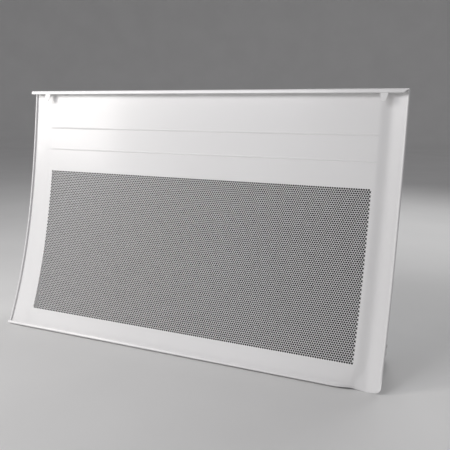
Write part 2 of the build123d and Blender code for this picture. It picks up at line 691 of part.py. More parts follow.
with BuildPart() as thermostat_knob:
    with BuildSketch(Plane.YZ.offset(knob_back)):
        with Locations((KNOB_Y, KNOB_Z)):
            Circle(KNOB_R)
    extrude(amount=-KNOB_LONG, taper=KNOB_TAPER)
    fillet(thermostat_knob.edges().sort_by(Axis.X)[0], KNOB_ROUND)
    with BuildSketch(Plane.YZ.offset(knob_back)):
        with Locations((KNOB_Y, KNOB_Z)):
            Circle(SHAFT_R)
    extrude(amount=-KNOB_BORE, mode=Mode.SUBTRACT)
    with BuildSketch(Plane.YZ.offset(knob_back - 1)):
        with Locations((KNOB_Y, KNOB_Z)):
            with PolarLocations(KNOB_R + FLUTE_OUT, FLUTES):
                Circle(FLUTE_R)
    extrude(amount=-KNOB_LONG, mode=Mode.SUBTRACT)
    with BuildSketch(Plane.YZ.offset(knob_back - KNOB_LONG)):
        with Locations((KNOB_Y, KNOB_Z)):
            with PolarLocations(KNOB_R - POINTER_LONG / 2 - KNOB_ROUND, 1, POINTER_TURN):
                Rectangle(POINTER_LONG, POINTER_WIDE)
    extrude(amount=POINTER_DEEP, mode=Mode.SUBTRACT)
finish(thermostat_knob, "thermostat_knob")

# Rocker switch: a body clipped into the end cap and the rocker that tips in it.
SWITCH_LONG = 18.0
BEZEL_OUT = 1.5
BEZEL_WIDE = 1.5
SWITCH_WALL = 1.5
SWITCH_WELL = 8.5  # behind the end cap's outer face
SWITCH_TABS = 5.0
ROCKER_X = -CAP_X + 3.2
TRUNNION_R = 1.0
TRUNNION_REACH = 5.9
PIVOT_REACH = 6.2
with BuildPart() as switch_body:
    with Locations((box_x + SWITCH_LONG / 2, SWITCH_Y, SWITCH_Z)):
        Box(SWITCH_LONG, SWITCH_Y_SIZE, SWITCH_Z_SIZE)
    with Locations((-CAP_X + CAP_WALL / 2, SWITCH_Y, SWITCH_Z)):
        Box(CAP_WALL, SWITCH_Y_SIZE, SWITCH_Z_SIZE)
    with Locations((-CAP_X - BEZEL_OUT / 2, SWITCH_Y, SWITCH_Z)):
        Box(BEZEL_OUT, SWITCH_Y_SIZE + 2 * BEZEL_WIDE, SWITCH_Z_SIZE + 2 * BEZEL_WIDE)
    with Locations((-CAP_X + (SWITCH_WELL - BEZEL_OUT) / 2, SWITCH_Y, SWITCH_Z)):
        Box(
            SWITCH_WELL + BEZEL_OUT,
            SWITCH_Y_SIZE - 2 * SWITCH_WALL,
            SWITCH_Z_SIZE - 2 * SWITCH_WALL,
            mode=Mode.SUBTRACT,
        )
    with BuildSketch(Plane.XZ.offset(-SWITCH_Y + PIVOT_REACH)):
        with Locations((ROCKER_X, SWITCH_Z)):
            Circle(TRUNNION_R + RUNNING)
    extrude(amount=-2 * PIVOT_REACH, mode=Mode.SUBTRACT)
    for tab in (-SWITCH_TABS, SWITCH_TABS):
        with Locations((box_x + SWITCH_LONG + TAB_LONG / 2, SWITCH_Y, SWITCH_Z + tab)):
            Box(TAB_LONG, TAB_WIDE, TAB_T)
finish(switch_body, "switch_body")

ROCKER_HALF = 7.0
ROCKER_OUT = 6.0
ROCKER_LOW = 3.4
ROCKER_IN = 2.0
ROCKER_NARROW = 0.8  # its inner side is this much shorter at each end
ROCKER_CROWN = 0.5
ROCKER_WIDE = 9.2
with BuildPart() as switch_rocker:
    with BuildSketch(Plane.XZ.offset(-SWITCH_Y + ROCKER_WIDE / 2)):
        with BuildLine():
            Polyline(
                (ROCKER_X - ROCKER_OUT, SWITCH_Z + ROCKER_HALF),
                (ROCKER_X + ROCKER_IN, SWITCH_Z + ROCKER_HALF - ROCKER_NARROW),
                (ROCKER_X + ROCKER_IN, SWITCH_Z - ROCKER_HALF + ROCKER_NARROW),
                (ROCKER_X - ROCKER_LOW, SWITCH_Z - ROCKER_HALF),
            )
            ThreePointArc(
                (ROCKER_X - ROCKER_LOW, SWITCH_Z - ROCKER_HALF),
                (ROCKER_X - ROCKER_LOW - ROCKER_CROWN, SWITCH_Z - ROCKER_CROWN),
                (ROCKER_X - ROCKER_OUT, SWITCH_Z + ROCKER_HALF),
            )
        make_face()
    extrude(amount=-ROCKER_WIDE)
    with BuildSketch(Plane.XZ.offset(-SWITCH_Y + TRUNNION_REACH)):
        with Locations((ROCKER_X, SWITCH_Z)):
            Circle(TRUNNION_R)
    extrude(amount=-2 * TRUNNION_REACH)
finish(switch_rocker, "switch_rocker")

# ---- wiring and sensing ----
TERMINALS_X = -200.0
TERMINALS_Z = 28.0
TERMINALS_SIZE = (40.0, 18.0, 20.0)
TERMINAL_PITCH = (12.0, 10.0)
WELL_R = 2.4
WELL_DEEP = 6.0
TERMINAL_SCREW_R = 2.0
TERMINAL_SCREW_LONG = 4.0
with BuildPart() as terminal_block:
    with Locations((TERMINALS_X, BACK_Y - TERMINALS_SIZE[1] / 2, TERMINALS_Z)):
        Box(*TERMINALS_SIZE)
    with BuildSketch(Plane.XZ.offset(-BACK_Y + TERMINALS_SIZE[1])):
        with Locations((TERMINALS_X, TERMINALS_Z)):
            with GridLocations(*TERMINAL_PITCH, 3, 2):
                Circle(WELL_R)
    extrude(amount=-WELL_DEEP, mode=Mode.SUBTRACT)
finish(terminal_block, "terminal_block")

with BuildPart() as terminal_screws:
    with BuildSketch(Plane.XZ.offset(-BACK_Y + TERMINALS_SIZE[1] - WELL_DEEP + TERMINAL_SCREW_LONG)):
        with Locations((TERMINALS_X, TERMINALS_Z)):
            with GridLocations(*TERMINAL_PITCH, 3, 2):
                Circle(TERMINAL_SCREW_R)
    extrude(amount=-TERMINAL_SCREW_LONG)
finish(terminal_screws, "terminal_screws")

# The gland for the supply lead, its nut, and the earth stud beside them.
GLAND_BORE = 4.2
GLAND_IN = 10.0
GLAND_OUT = 8.0
GLAND_FIT = 0.2
GLAND_RIM = 3.0
NUT_SIZE = 12.5
NUT_LONG = 5.0
with BuildPart() as cable_gland:
    with BuildSketch(Plane.XZ.offset(-BACK_Y + GLAND_IN)):
        with Locations((GLAND_X, GLAND_Z)):
            Circle(LEAD_HOLE_R - GLAND_FIT)
    extrude(amount=-GLAND_IN - SHEET)
    with BuildSketch(Plane.XZ.offset(-BACK_Y - SHEET)):
        with Locations((GLAND_X, GLAND_Z)):
            Circle(LEAD_HOLE_R + GLAND_RIM)
    extrude(amount=-GLAND_OUT)
    with BuildSketch(Plane.XZ.offset(-BACK_Y + GLAND_IN)):
        with Locations((GLAND_X, GLAND_Z)):
            Circle(GLAND_BORE)
    extrude(amount=-GLAND_IN - SHEET - GLAND_OUT, mode=Mode.SUBTRACT)
finish(cable_gland, "cable_gland")

with BuildPart() as gland_nut:
    with BuildSketch(Plane.XZ.offset(-BACK_Y)):
        with Locations((GLAND_X, GLAND_Z)):
            RegularPolygon(NUT_SIZE, 6)
            Circle(LEAD_HOLE_R - GLAND_FIT / 2, mode=Mode.SUBTRACT)
    extrude(amount=NUT_LONG)
finish(gland_nut, "gland_nut")

EARTH_X = -290.0
EARTH_NUT = 4.4
EARTH_NUT_H = 3.2
EARTH_STUD_R = 2.0
EARTH_STUD_LONG = 6.0
with BuildPart() as earth_screw:
    with BuildSketch(Plane.XZ.offset(-BACK_Y)):
        with Locations((EARTH_X, TERMINALS_Z)):
            RegularPolygon(EARTH_NUT, 6)
    extrude(amount=EARTH_NUT_H)
    with BuildSketch(Plane.XZ.offset(-BACK_Y + EARTH_NUT_H)):
        with Locations((EARTH_X, TERMINALS_Z)):
            Circle(EARTH_STUD_R)
    extrude(amount=EARTH_STUD_LONG)
finish(earth_screw, "earth_screw")

# The thermostat's sensing bulb, in the inlet air above the floor pan.
SENSOR_X = -300.0
SENSOR_Y = -20.0
SENSOR_RISE = 9.0
SENSOR_Z = PAN_TOP + SENSOR_RISE
SENSOR_R = 3.0
SENSOR_LONG = 26.0
SENSOR_ROUND = 2.4
HOLDER_X = -304.0
HOLDER_SIZE = (5.0, 9.0)
HOLDER_OVER = 2.0
holder_high = SENSOR_RISE + HOLDER_OVER
with BuildPart() as room_sensor:
    with BuildSketch(Plane.YZ.offset(SENSOR_X - SENSOR_LONG / 2)):
        with Locations((SENSOR_Y, SENSOR_Z)):
            Circle(SENSOR_R)
    extrude(amount=SENSOR_LONG)
    fillet(room_sensor.edges().sort_by(Axis.X)[-1], SENSOR_ROUND)
finish(room_sensor, "room_sensor")

with BuildPart() as sensor_clip:
    with Locations((HOLDER_X, SENSOR_Y, PAN_TOP + holder_high / 2)):
        Box(*HOLDER_SIZE, holder_high)
    with BuildSketch(Plane.YZ.offset(HOLDER_X - HOLDER_SIZE[0] / 2)):
        with Locations((SENSOR_Y, SENSOR_Z)):
            Circle(SENSOR_R)
    extrude(amount=HOLDER_SIZE[0], mode=Mode.SUBTRACT)
finish(sensor_clip, "sensor_clip")

# Internal leads, held along their run: terminal block to control box, control box to the element's pins.
LEAD_R = 1.3
SUPPLY_START = 20.0  # the supply lead leaves the terminals' left end
SUPPLY_UP = 45.5  # and rises this far beside the control box
SUPPLY_OFF = 6.0  # it lies off the back plate
SUPPLY_IN = 22.0
SUPPLY_RISE = 16.0
DROP_X = 18.0  # the element's leads drop this far inside the end cap
FEED_RISE = 22.0
RETURN_BACK = 10.0
SUPPLY_BEND = 12.0
FEED_BEND = 4.0
RETURN_BEND = 8.0


def lead(points, bend):
    """A lead along straight runs joined by tangent arcs."""
    with BuildPart(mode=Mode.PRIVATE) as wire:
        with BuildLine() as path:
            FilletPolyline(*points, radius=bend)
        with BuildSketch(Plane(path.line @ 0, z_dir=path.line % 0)):
            Circle(LEAD_R)
        sweep()
    return wire.part


pin_x = ELEMENT_LEFT - BUSH_LONG - PIN_LONG
high_pin = face_plane(TUBE_B).from_local_coords((pin_x, leg_high, 0))
low_pin = face_plane(TUBE_B).from_local_coords((pin_x, leg_low, 0))
drop_x = box_x + DROP_X
rise_x = box_x + BOX_OUT + SUPPLY_UP
supply = lead(
    [
        (TERMINALS_X - SUPPLY_START, BACK_Y - SUPPLY_OFF, TERMINALS_Z),
        (rise_x, BACK_Y - SUPPLY_OFF, TERMINALS_Z),
        (rise_x, BACK_Y - SUPPLY_IN, BOX_Z[0] + SUPPLY_RISE),
        (box_x + BOX_OUT, BACK_Y - SUPPLY_IN, BOX_Z[0] + SUPPLY_RISE),
    ],
    SUPPLY_BEND,
)
feed = lead(
    [
        (drop_x, BOX_Y[0], high_pin.Z + FEED_RISE),
        (drop_x, high_pin.Y, high_pin.Z + FEED_RISE),
        (drop_x, high_pin.Y, high_pin.Z),
        (pin_x, high_pin.Y, high_pin.Z),
    ],
    FEED_BEND,
)
back_run = lead(
    [
        (drop_x, BOX_Y[0] + RETURN_BACK, BOX_Z[0]),
        (drop_x, BOX_Y[0] + RETURN_BACK, low_pin.Z),
        (drop_x, low_pin.Y, low_pin.Z),
        (pin_x, low_pin.Y, low_pin.Z),
    ],
    RETURN_BEND,
)
with BuildPart() as internal_leads:
    add([supply, feed, back_run])
finish(internal_leads, "internal_leads")
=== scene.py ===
import json
import math

import bmesh
import bpy
import numpy as np
from mathutils import Matrix, Vector


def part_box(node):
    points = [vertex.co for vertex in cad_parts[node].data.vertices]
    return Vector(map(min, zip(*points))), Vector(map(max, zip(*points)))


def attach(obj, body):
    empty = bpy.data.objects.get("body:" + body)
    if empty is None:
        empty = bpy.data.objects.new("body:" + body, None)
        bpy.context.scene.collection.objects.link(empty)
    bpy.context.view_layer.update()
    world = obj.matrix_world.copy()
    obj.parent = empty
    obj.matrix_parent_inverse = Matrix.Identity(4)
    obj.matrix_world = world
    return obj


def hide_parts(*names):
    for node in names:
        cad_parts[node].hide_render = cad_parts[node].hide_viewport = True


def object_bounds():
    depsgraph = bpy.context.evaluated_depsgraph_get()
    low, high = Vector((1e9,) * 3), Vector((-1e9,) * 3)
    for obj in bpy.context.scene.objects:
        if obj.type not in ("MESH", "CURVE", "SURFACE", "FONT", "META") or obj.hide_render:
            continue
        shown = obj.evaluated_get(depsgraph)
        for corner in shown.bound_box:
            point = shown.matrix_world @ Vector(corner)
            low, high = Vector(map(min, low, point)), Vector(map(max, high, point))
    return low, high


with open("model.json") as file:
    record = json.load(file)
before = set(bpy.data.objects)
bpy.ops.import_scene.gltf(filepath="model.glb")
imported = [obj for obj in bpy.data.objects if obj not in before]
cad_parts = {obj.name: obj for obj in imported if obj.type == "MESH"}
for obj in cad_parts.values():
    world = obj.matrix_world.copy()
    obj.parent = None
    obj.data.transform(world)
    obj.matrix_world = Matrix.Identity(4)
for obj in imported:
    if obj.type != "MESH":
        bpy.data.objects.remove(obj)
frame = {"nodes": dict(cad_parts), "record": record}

cad_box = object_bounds()

# ---- the cover's shape, in metres; the same driving dimensions as the CAD source ----
LEAN = math.radians(14)  # the cover leans back from vertical
CHORD = 0.477  # front face, top fold to bottom fold in a straight line
BOW_HIGH = 0.018  # how far the face's Bezier poles lie behind the chord
BOW_LOW = 0.034
SKIN = 0.001
TOP_SHELF, TOP_LIP = 0.0125, 0.006
LOW_SHELF, LOW_LIP = 0.0085, 0.0045
BEAD_WIDE, BEAD_RISE = 0.0035, 0.004
TONGUE_ROOT, TONGUE_TIP = 0.0125, 0.007
TONGUE_DROP, TONGUE_INSET = 0.0135, 0.038

# folded rims along the top and bottom
FOLD_RADIUS = 0.0014  # along the middle of the sheet
FOLD_BEHIND = 0.004  # each rim starts as a strip this high in the plane of the sheet
EDGE_ROUND = 0.35  # how far a lip's free edge bulges, in sheet thicknesses
LOW_LIP_LEAN = 0.0024  # the low lip's edge leans back towards the face
TOP_PROUD = 0.003  # the top lip's left end stands out past the side
TOP_MITRE = 1.25  # and its right end is cut back this much for each unit down
RIM_TUCK = 0.0003  # where a rim's end lies in a side bead it stops short of the bead's outer face

# side beads
BEAD_RADIUS = 0.0015  # of the two front edges of a bead's section
BEAD_STEP = 0.005  # distance between its sections
QUARTER = 6  # steps in a quarter turn

# spring tongues
TONGUE_THICK = 0.0012
TONGUE_SECTIONS = 16
TONGUE_STRAIGHT, TONGUE_BEND = 0.4, 0.0009  # share of its length that is straight; the rest bends forwards
TONGUE_ROUNDED, TONGUE_BLUNT = 0.12, 0.55  # share of its length that is rounded off, and how strongly

# perforation: round holes, staggered at 60 degrees, in level rows
PITCH = 0.004
HOLE = 0.0034
FIELD_SKIN = 0.0005
COLUMNS, ROWS = 163, 82
FIELD_TOP = 0.0817  # up the chord from its middle
FIELD_PIECES = 5
ROW_SHIFT = 0.25  # even rows lie this share of a pitch to the left of centre, and odd rows to the right
FIELD_HALF = (COLUMNS / 2 + ROW_SHIFT) * PITCH

# pressed ridges above the perforation
RIDGES = (0.168, 0.1254)  # up the chord from its middle
RIDGE_HALF = 0.331
RIDGE_RISE, RIDGE_SOFT = 0.0009, 0.0010
RIDGE_END = 0.008  # each ridge fades out over this length

# side bands: the face dips back a little outside the perforation, then comes forward to the rim
DIP_X, DIP_WIDE, DIP_DEEP = 0.339, 0.018, 0.0024
RISE_X, RISE_WIDE, RISE_HIGH = 0.361, 0.026, 0.0042
DIP_SHIFT, DIP_SHIFT_LONG = 0.012, 0.03  # below the perforation the dip moves inwards
LEFT_STRENGTH = 0.3  # the left band is bent less than the right one

# the face sheet's grid
SHEET_INSET = 0.001  # its rows stop short of the folds
SIDE_STEP, MIDDLE_STEP, ROW_HIGH = 0.0018, 0.012, 0.004
CORNER_WIDE, CORNER_STEP = 0.004, 0.0005  # finer columns for the round corner
RIDGE_REACH, RIDGE_STEP = 0.0035, 0.0004  # finer rows on both sides of a ridge

# the lower right corner: the rim runs out, and the sheet hangs a little lower and ends in a round corner
CORNER_ROUND = 0.010
LOBE_X, LOBE_WIDE, LOBE_DROP = 0.352, 0.018, 0.0017  # where it hangs lowest, how wide, and by how much
RUN_OUT_X, RUN_OUT_LONG, RUN_OUT_STEP = 0.300, 0.045, 0.003  # its start, length, and distance of sections
FOOT_LONG, FOOT_LEAST, FOOT_BEHIND = 0.030, 0.12, 0.0003  # the right bead flattens onto the sheet at its foot
RUN_OUT_LEAST = 0.04  # share of the rim's depth that stays, so its section keeps an inside
RUN_OUT_STRIP = 0.25  # share of its height that stays
RUN_OUT_RISE, RUN_OUT_BEHIND = 0.0034, 0.0003  # it ends hidden inside the sheet
RUN_OUT_SHEET = 0.0012  # where the rim is gone the sheet itself reaches down to the edge

# fasteners and dial on the ends
SPOKES = 48  # points round a screw
SCREW_SHARP = 30  # edges over this many degrees stay sharp
SCREW_RINGS = (0.07, 0.14, 0.2, 0.27, 0.36, 0.46, 0.52, 0.6, 0.75, 0.9, 0.97, 1.0)  # shares of its radius
DOME = 0.45  # how far a screw's head falls towards its edge, as a share of its height
RECESS_HALF, RECESS_REACH, RECESS_DEEP = 0.13, 0.5, 0.55  # cross recess, as shares of the head's size
CAP_SCREW_HEAD = 0.0036
CAP_SCREW_MIDDLE = 0.150
CAP_SCREW_SHANK = (0.0016, 0.008)  # radius and length
PIVOT_HEAD_HIGH = 0.0022
PIVOT_RADIUS, PIVOT_BITE = 0.003, 0.003  # its bite is how far it reaches past the end cap's outer face
BAR_TOP = (0.97, 0.9)  # a raised bar's top, as shares of its foot's length and width
DIAL_MARKS, DIAL_START, DIAL_SWEEP = 11, -45, 270  # degrees, from straight back
DIAL_GAP, DIAL_LONG, DIAL_WIDE, DIAL_THICK = 0.0022, 0.0032, 0.0009, 0.0002
DIAL_END_SHARE = 1.6  # the first and last mark are longer
POINTER_MIDDLE, POINTER_DEEP = 0.010, 0.0007  # the groove's middle from the knob's axis, and its depth
POINTER_LONG, POINTER_WIDE, POINTER_FILL = 0.0086, 0.0014, 0.0005  # the paint in the groove

# studio
FLOOR_RADIUS, FLOOR_SWEEP, FLOOR_WALL = 8.0, 1.8, 4.5
FLOOR_ARC, FLOOR_TURNS = 12, 96  # steps up the floor's curve, and round it
FLOOR_SHADES = (0.80, 0.80, 0.795), (0.83, 0.83, 0.825)
SOFTBOXES = {  # place, size, power in watts and colour of each
    "key": ((-1.15, -0.95, 0.92), (0.5, 0.7), 9.4, (1.0, 0.98, 0.955)),
    "front": ((-0.8, -1.75, 1.45), (1.0, 0.8), 14.2, (0.98, 0.975, 1.0)),
    "back": ((0.3, 1.7, 1.5), (1.6, 1.0), 14, (1.0, 1.0, 1.0)),
}
WORLD_COLOUR, WORLD_STRENGTH = (0.81, 0.80, 0.82), 0.30
SENSOR, LENS = 36, 47.7  # millimetres
CAMERA_PLACE = (0.505, -0.9558, 0.4331)
CAMERA_TURN = (-24.19, -10.88, 0.44)  # azimuth, pitch and roll in degrees

# materials: the part of a noise's range that the varied values are spread over
SPREAD_LOW, SPREAD_HIGH = 0.3, 0.7
ROLLED = {  # dark and light shade, lowest and highest roughness, metallic, and the lines' stretch
    "black_anodised": ((0.008, 0.008, 0.009), (0.018, 0.018, 0.02), 0.5, 0.62, 0.1, (0.05, 1, 1)),
    "element_steel": ((0.12, 0.10, 0.09), (0.30, 0.27, 0.25), 0.35, 0.55, 1.0, (0.1, 1, 1)),
    "bright_aluminium": ((0.70, 0.71, 0.72), (0.84, 0.85, 0.86), 0.18, 0.3, 1.0, (0.04, 1, 1)),
    "zinc_screw": ((0.52, 0.52, 0.50), (0.72, 0.72, 0.70), 0.28, 0.42, 1.0, (1, 1, 1)),
    "brass": ((0.56, 0.42, 0.18), (0.76, 0.60, 0.30), 0.25, 0.4, 1.0, (1, 1, 1)),
}
MOULDED = {  # dark and light shade, lowest and highest roughness, and the grain's scale and height
    "ceramic": ((0.80, 0.77, 0.70), (0.90, 0.88, 0.82), 0.2, 0.32, 300.0, 0.00006),
    "white_plastic": ((0.79, 0.79, 0.775), (0.85, 0.85, 0.835), 0.4, 0.52, 900.0, 0.00006),
    "black_plastic": ((0.03, 0.03, 0.033), (0.06, 0.06, 0.065), 0.42, 0.56, 900.0, 0.00006),
    "rubber": ((0.025, 0.025, 0.025), (0.05, 0.05, 0.048), 0.7, 0.85, 500.0, 0.0001),
    "lead_sleeve": ((0.36, 0.05, 0.03), (0.50, 0.09, 0.05), 0.4, 0.5, 500.0, 0.00006),
}

CLOSE = 1e-5  # two places nearer than this are the same
MICRON = 1e-6  # neighbouring cells share the corners that agree to this
SIN, COS = math.sin(LEAN), math.cos(LEAN)
HALF = CHORD / 2
ROW_STEP = PITCH * math.sqrt(3) / 2
CORNER = PITCH / math.sqrt(3)  # hexagonal cell, centre to corner
FIELD_LOW = FIELD_TOP - (ROWS - 1) * ROW_STEP - 2 * CORNER

cover_low, cover_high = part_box("front_cover")
WIDTH = cover_high.x - cover_low.x
# the chord's middle
MID_Y = cover_low.y + LOW_SHELF * COS + (HALF + SKIN) * SIN
MID_Z = cover_low.z + SKIN * SIN + (HALF + SKIN) * COS


# ---- geometry helpers ----
def bow(v):
    """How far the face lies behind its chord at a height v along it."""
    s = 0.5 - v / CHORD
    return 3 * (1 - s) ** 2 * s * BOW_HIGH + 3 * (1 - s) * s**2 * BOW_LOW


def smooth(t):
    """A step from 0 to 1 that starts and ends gently."""
    t = np.clip(t, 0, 1)
    return t * t * (3 - 2 * t)


def relief(x, v):
    """How far the pressed features stand in front of the plain bowed face."""
    side = np.abs(x)
    below = DIP_SHIFT * smooth((FIELD_LOW - v) / DIP_SHIFT_LONG)
    dip = -DIP_DEEP * smooth((side - DIP_X + below + DIP_WIDE / 2) / DIP_WIDE)
    rise = RISE_HIGH * smooth((side - RISE_X + RISE_WIDE / 2) / RISE_WIDE)
    along = 1 - smooth((side - RIDGE_HALF + RIDGE_END / 2) / RIDGE_END)
    ridge = sum(np.exp(-(((v - r) / RIDGE_SOFT) ** 2)) for r in RIDGES)
    strength = np.where(x < 0, LEFT_STRENGTH, 1.0)
    return (dip + rise) * strength + RIDGE_RISE * ridge * along


def place(x, v, out):
    """Points in the shared frame: x along the width, v up the chord, out in front of the chord."""
    x, v, out = np.broadcast_arrays(x, v, out)
    return np.stack([x, MID_Y - out * COS + v * SIN, MID_Z + out * SIN + v * COS], -1)


def steps(low, high, size):
    """Even steps of about a size, from low to high."""
    return np.linspace(low, high, max(2, int(round((high - low) / size)) + 1))


def finished_mesh(name, work):
    """The mesh of a bmesh, which is then freed."""
    mesh = bpy.data.meshes.new(name)
    work.to_mesh(mesh)
    work.free()
    return mesh


def add_object(name, data):
    thing = bpy.data.objects.new(name, data)
    bpy.context.scene.collection.objects.link(thing)
    return thing


def keep(mesh, name, body, slot, sharp=35, replaces=()):
    """Turn a finished mesh into a piece that rides on a body. Edges over sharp degrees stay sharp."""
    work = bmesh.new()
    work.from_mesh(mesh)
    bmesh.ops.recalc_face_normals(work, faces=work.faces)
    work.to_mesh(mesh)
    work.free()
    mesh.shade_smooth()
    mesh.set_sharp_from_angle(angle=math.radians(sharp))
    mesh.materials.append(MATERIALS[slot])
    piece = add_object(name, mesh)
    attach(piece, body)
    if replaces:
        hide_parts(*replaces)


def cover_piece(name, points, faces, node="front_cover"):
    """An enamelled piece of the cover that stands in for a CAD node, or for a part of it."""
    mesh = bpy.data.meshes.new(name)
    mesh.from_pydata([tuple(point) for point in points], [], faces)
    mesh.validate()
    keep(mesh, name, "cover", "white_enamel", replaces=(node,))


def sheet_piece(name, x, v, out, thick, front):
    """
    A piece of sheet: its front, a back behind it and walls along every border, holes included.
    x, v and out are its points on the front, and front is an array of the faces between them.
    """
    count = len(x)
    back = front[:, ::-1] + count
    # a side on a border belongs to one face only
    sides = np.concatenate([np.stack([front[:, k - 1], front[:, k]], 1) for k in range(front.shape[1])])
    first_at, times = np.unique(np.sort(sides, 1), axis=0, return_index=True, return_counts=True)[1:]
    start, end = sides[first_at[times == 1]].T
    walls = np.stack([end, start, start + count, end + count], 1)
    points = np.concatenate([place(x, v, out), place(x, v, out - thick)])
    cover_piece(name, points, front.tolist() + back.tolist() + walls.tolist())


def lofted_piece(name, sections, node="front_cover"):
    """A closed skin over sections. Each section is a list of (x, v, out), and all are as long."""
    count = len(sections[0])
    points = [np.ravel(place(*point)) for section in sections for point in section]
    faces = []
    for start in range(0, len(points) - count, count):
        for k in range(count):
            a, b = start + k, start + (k + 1) % count
            faces.append([a, b, b + count, a + count])
    faces += [list(range(count)), list(range(len(points) - count, len(points)))[::-1]]
    cover_piece(name, points, faces, node)


# ---- materials ----
def node_material(name, base, roughness, metallic=0.0):
    """A material with its Principled shader, and object coordinates for its textures."""
    material = bpy.data.materials.new(name)
    material.use_nodes = True
    tree = material.node_tree
    shader = tree.nodes["Principled BSDF"]
    shader.inputs["Base Color"].default_value = (*base, 1)
    shader.inputs["Roughness"].default_value = roughness
    shader.inputs["Metallic"].default_value = metallic
    coords = tree.nodes.new("ShaderNodeTexCoord")
    return material, tree, shader, coords.outputs["Object"]


def noise(tree, coords, scale, detail, stretch=None):
    """A noise between 0 and 1; a stretch under 1 draws it out along that axis."""
    if stretch:
        mapping = tree.nodes.new("ShaderNodeMapping")
        mapping.inputs["Scale"].default_value = stretch
        tree.links.new(coords, mapping.inputs["Vector"])
        coords = mapping.outputs["Vector"]
    texture = tree.nodes.new("ShaderNodeTexNoise")
    texture.inputs["Scale"].default_value = scale
    texture.inputs["Detail"].default_value = detail
    tree.links.new(coords, texture.inputs["Vector"])
    return texture.outputs["Fac"]


def tint(tree, shader, factor, dark, light, low=0.35, high=0.65):
    """Colour the shader between two shades by a factor."""
    ramp = tree.nodes.new("ShaderNodeValToRGB")
    ramp.color_ramp.elements[0].position = low
    ramp.color_ramp.elements[0].color = (*dark, 1)
    ramp.color_ramp.elements[1].position = high
    ramp.color_ramp.elements[1].color = (*light, 1)
    tree.links.new(factor, ramp.inputs["Fac"])
    tree.links.new(ramp.outputs["Color"], shader.inputs["Base Color"])


def vary(tree, factor, socket, low, high):
    """Vary a socket between two values by a factor."""
    spread = tree.nodes.new("ShaderNodeMapRange")
    spread.inputs["From Min"].default_value = SPREAD_LOW
    spread.inputs["From Max"].default_value = SPREAD_HIGH
    spread.inputs["To Min"].default_value = low
    spread.inputs["To Max"].default_value = high
    tree.links.new(factor, spread.inputs["Value"])
    tree.links.new(spread.outputs["Result"], socket)


def bump(tree, shader, factor, height, strength):
    """Raise the surface by a factor, up to a height in metres."""
    node = tree.nodes.new("ShaderNodeBump")
    node.inputs["Strength"].default_value = strength
    node.inputs["Distance"].default_value = height
    tree.links.new(factor, node.inputs["Height"])
    tree.links.new(node.outputs["Normal"], shader.inputs["Normal"])


def enamel():
    """White gloss enamel with a faint orange-peel surface."""
    material, tree, shader, coords = node_material("white_enamel", (0.87, 0.875, 0.875), roughness=0.28)
    shader.inputs["Coat Weight"].default_value = 0.25
    shader.inputs["Coat Roughness"].default_value = 0.12
    clouds = noise(tree, coords, scale=7.0, detail=1.5)
    tint(tree, shader, clouds, (0.864, 0.859, 0.859), (0.880, 0.876, 0.877), low=0.2, high=0.8)
    vary(tree, noise(tree, coords, scale=16.0, detail=1.0), shader.inputs["Roughness"], low=0.285, high=0.315)
    bump(tree, shader, noise(tree, coords, scale=420.0, detail=2.0), height=0.00005, strength=0.5)
    return material


def galvanised():
    """Zinc-coated sheet with its pattern of crystals."""
    material, tree, shader, coords = node_material(
        "galvanised", (0.62, 0.64, 0.66), roughness=0.42, metallic=0.9
    )
    cells = tree.nodes.new("ShaderNodeTexVoronoi")
    cells.inputs["Scale"].default_value = 90.0
    tree.links.new(coords, cells.inputs["Vector"])
    grey = tree.nodes.new("ShaderNodeSeparateColor")
    tree.links.new(cells.outputs["Color"], grey.inputs["Color"])
    tint(tree, shader, grey.outputs["Red"], (0.53, 0.55, 0.57), (0.65, 0.67, 0.69), low=0.0, high=1.0)
    vary(tree, grey.outputs["Green"], shader.inputs["Roughness"], low=0.36, high=0.46)
    bump(tree, shader, noise(tree, coords, scale=160.0, detail=4.0), height=0.00005, strength=0.4)
    return material


def rolled_metal(name, dark, light, rough_low, rough_high, metallic, stretch):
    """Metal with fine lines along the direction it was rolled or drawn."""
    material, tree, shader, coords = node_material(name, light, rough_high, metallic)
    lines = noise(tree, coords, scale=120.0, detail=5.0, stretch=stretch)
    tint(tree, shader, lines, dark, light)
    clouds = noise(tree, coords, scale=30.0, detail=4.0)
    vary(tree, clouds, shader.inputs["Roughness"], rough_low, rough_high)
    bump(tree, shader, lines, height=0.00004, strength=0.5)
    return material


def moulded(name, dark, light, rough_low, rough_high, grain, height):
    """Moulded plastic, rubber or ceramic with a fine grain."""
    material, tree, shader, coords = node_material(name, light, rough_high)
    tint(tree, shader, noise(tree, coords, scale=22.0, detail=4.0), dark, light)
    patches = noise(tree, coords, scale=60.0, detail=4.0)
    vary(tree, patches, shader.inputs["Roughness"], rough_low, rough_high)
    bump(tree, shader, noise(tree, coords, scale=grain, detail=2.0), height, strength=0.6)
    return material


MATERIALS = {"white_enamel": enamel(), "galvanised": galvanised()}
for name, look in ROLLED.items():
    MATERIALS[name] = rolled_metal(name, *look)
for name, look in MOULDED.items():
    MATERIALS[name] = moulded(name, *look)

# every CAD node gets the material of its slot
for part in frame["record"]["subparts"]:
    mesh = frame["nodes"][part["node"]].data
    mesh.materials.clear()
    mesh.materials.append(MATERIALS[part["material_slot"]])


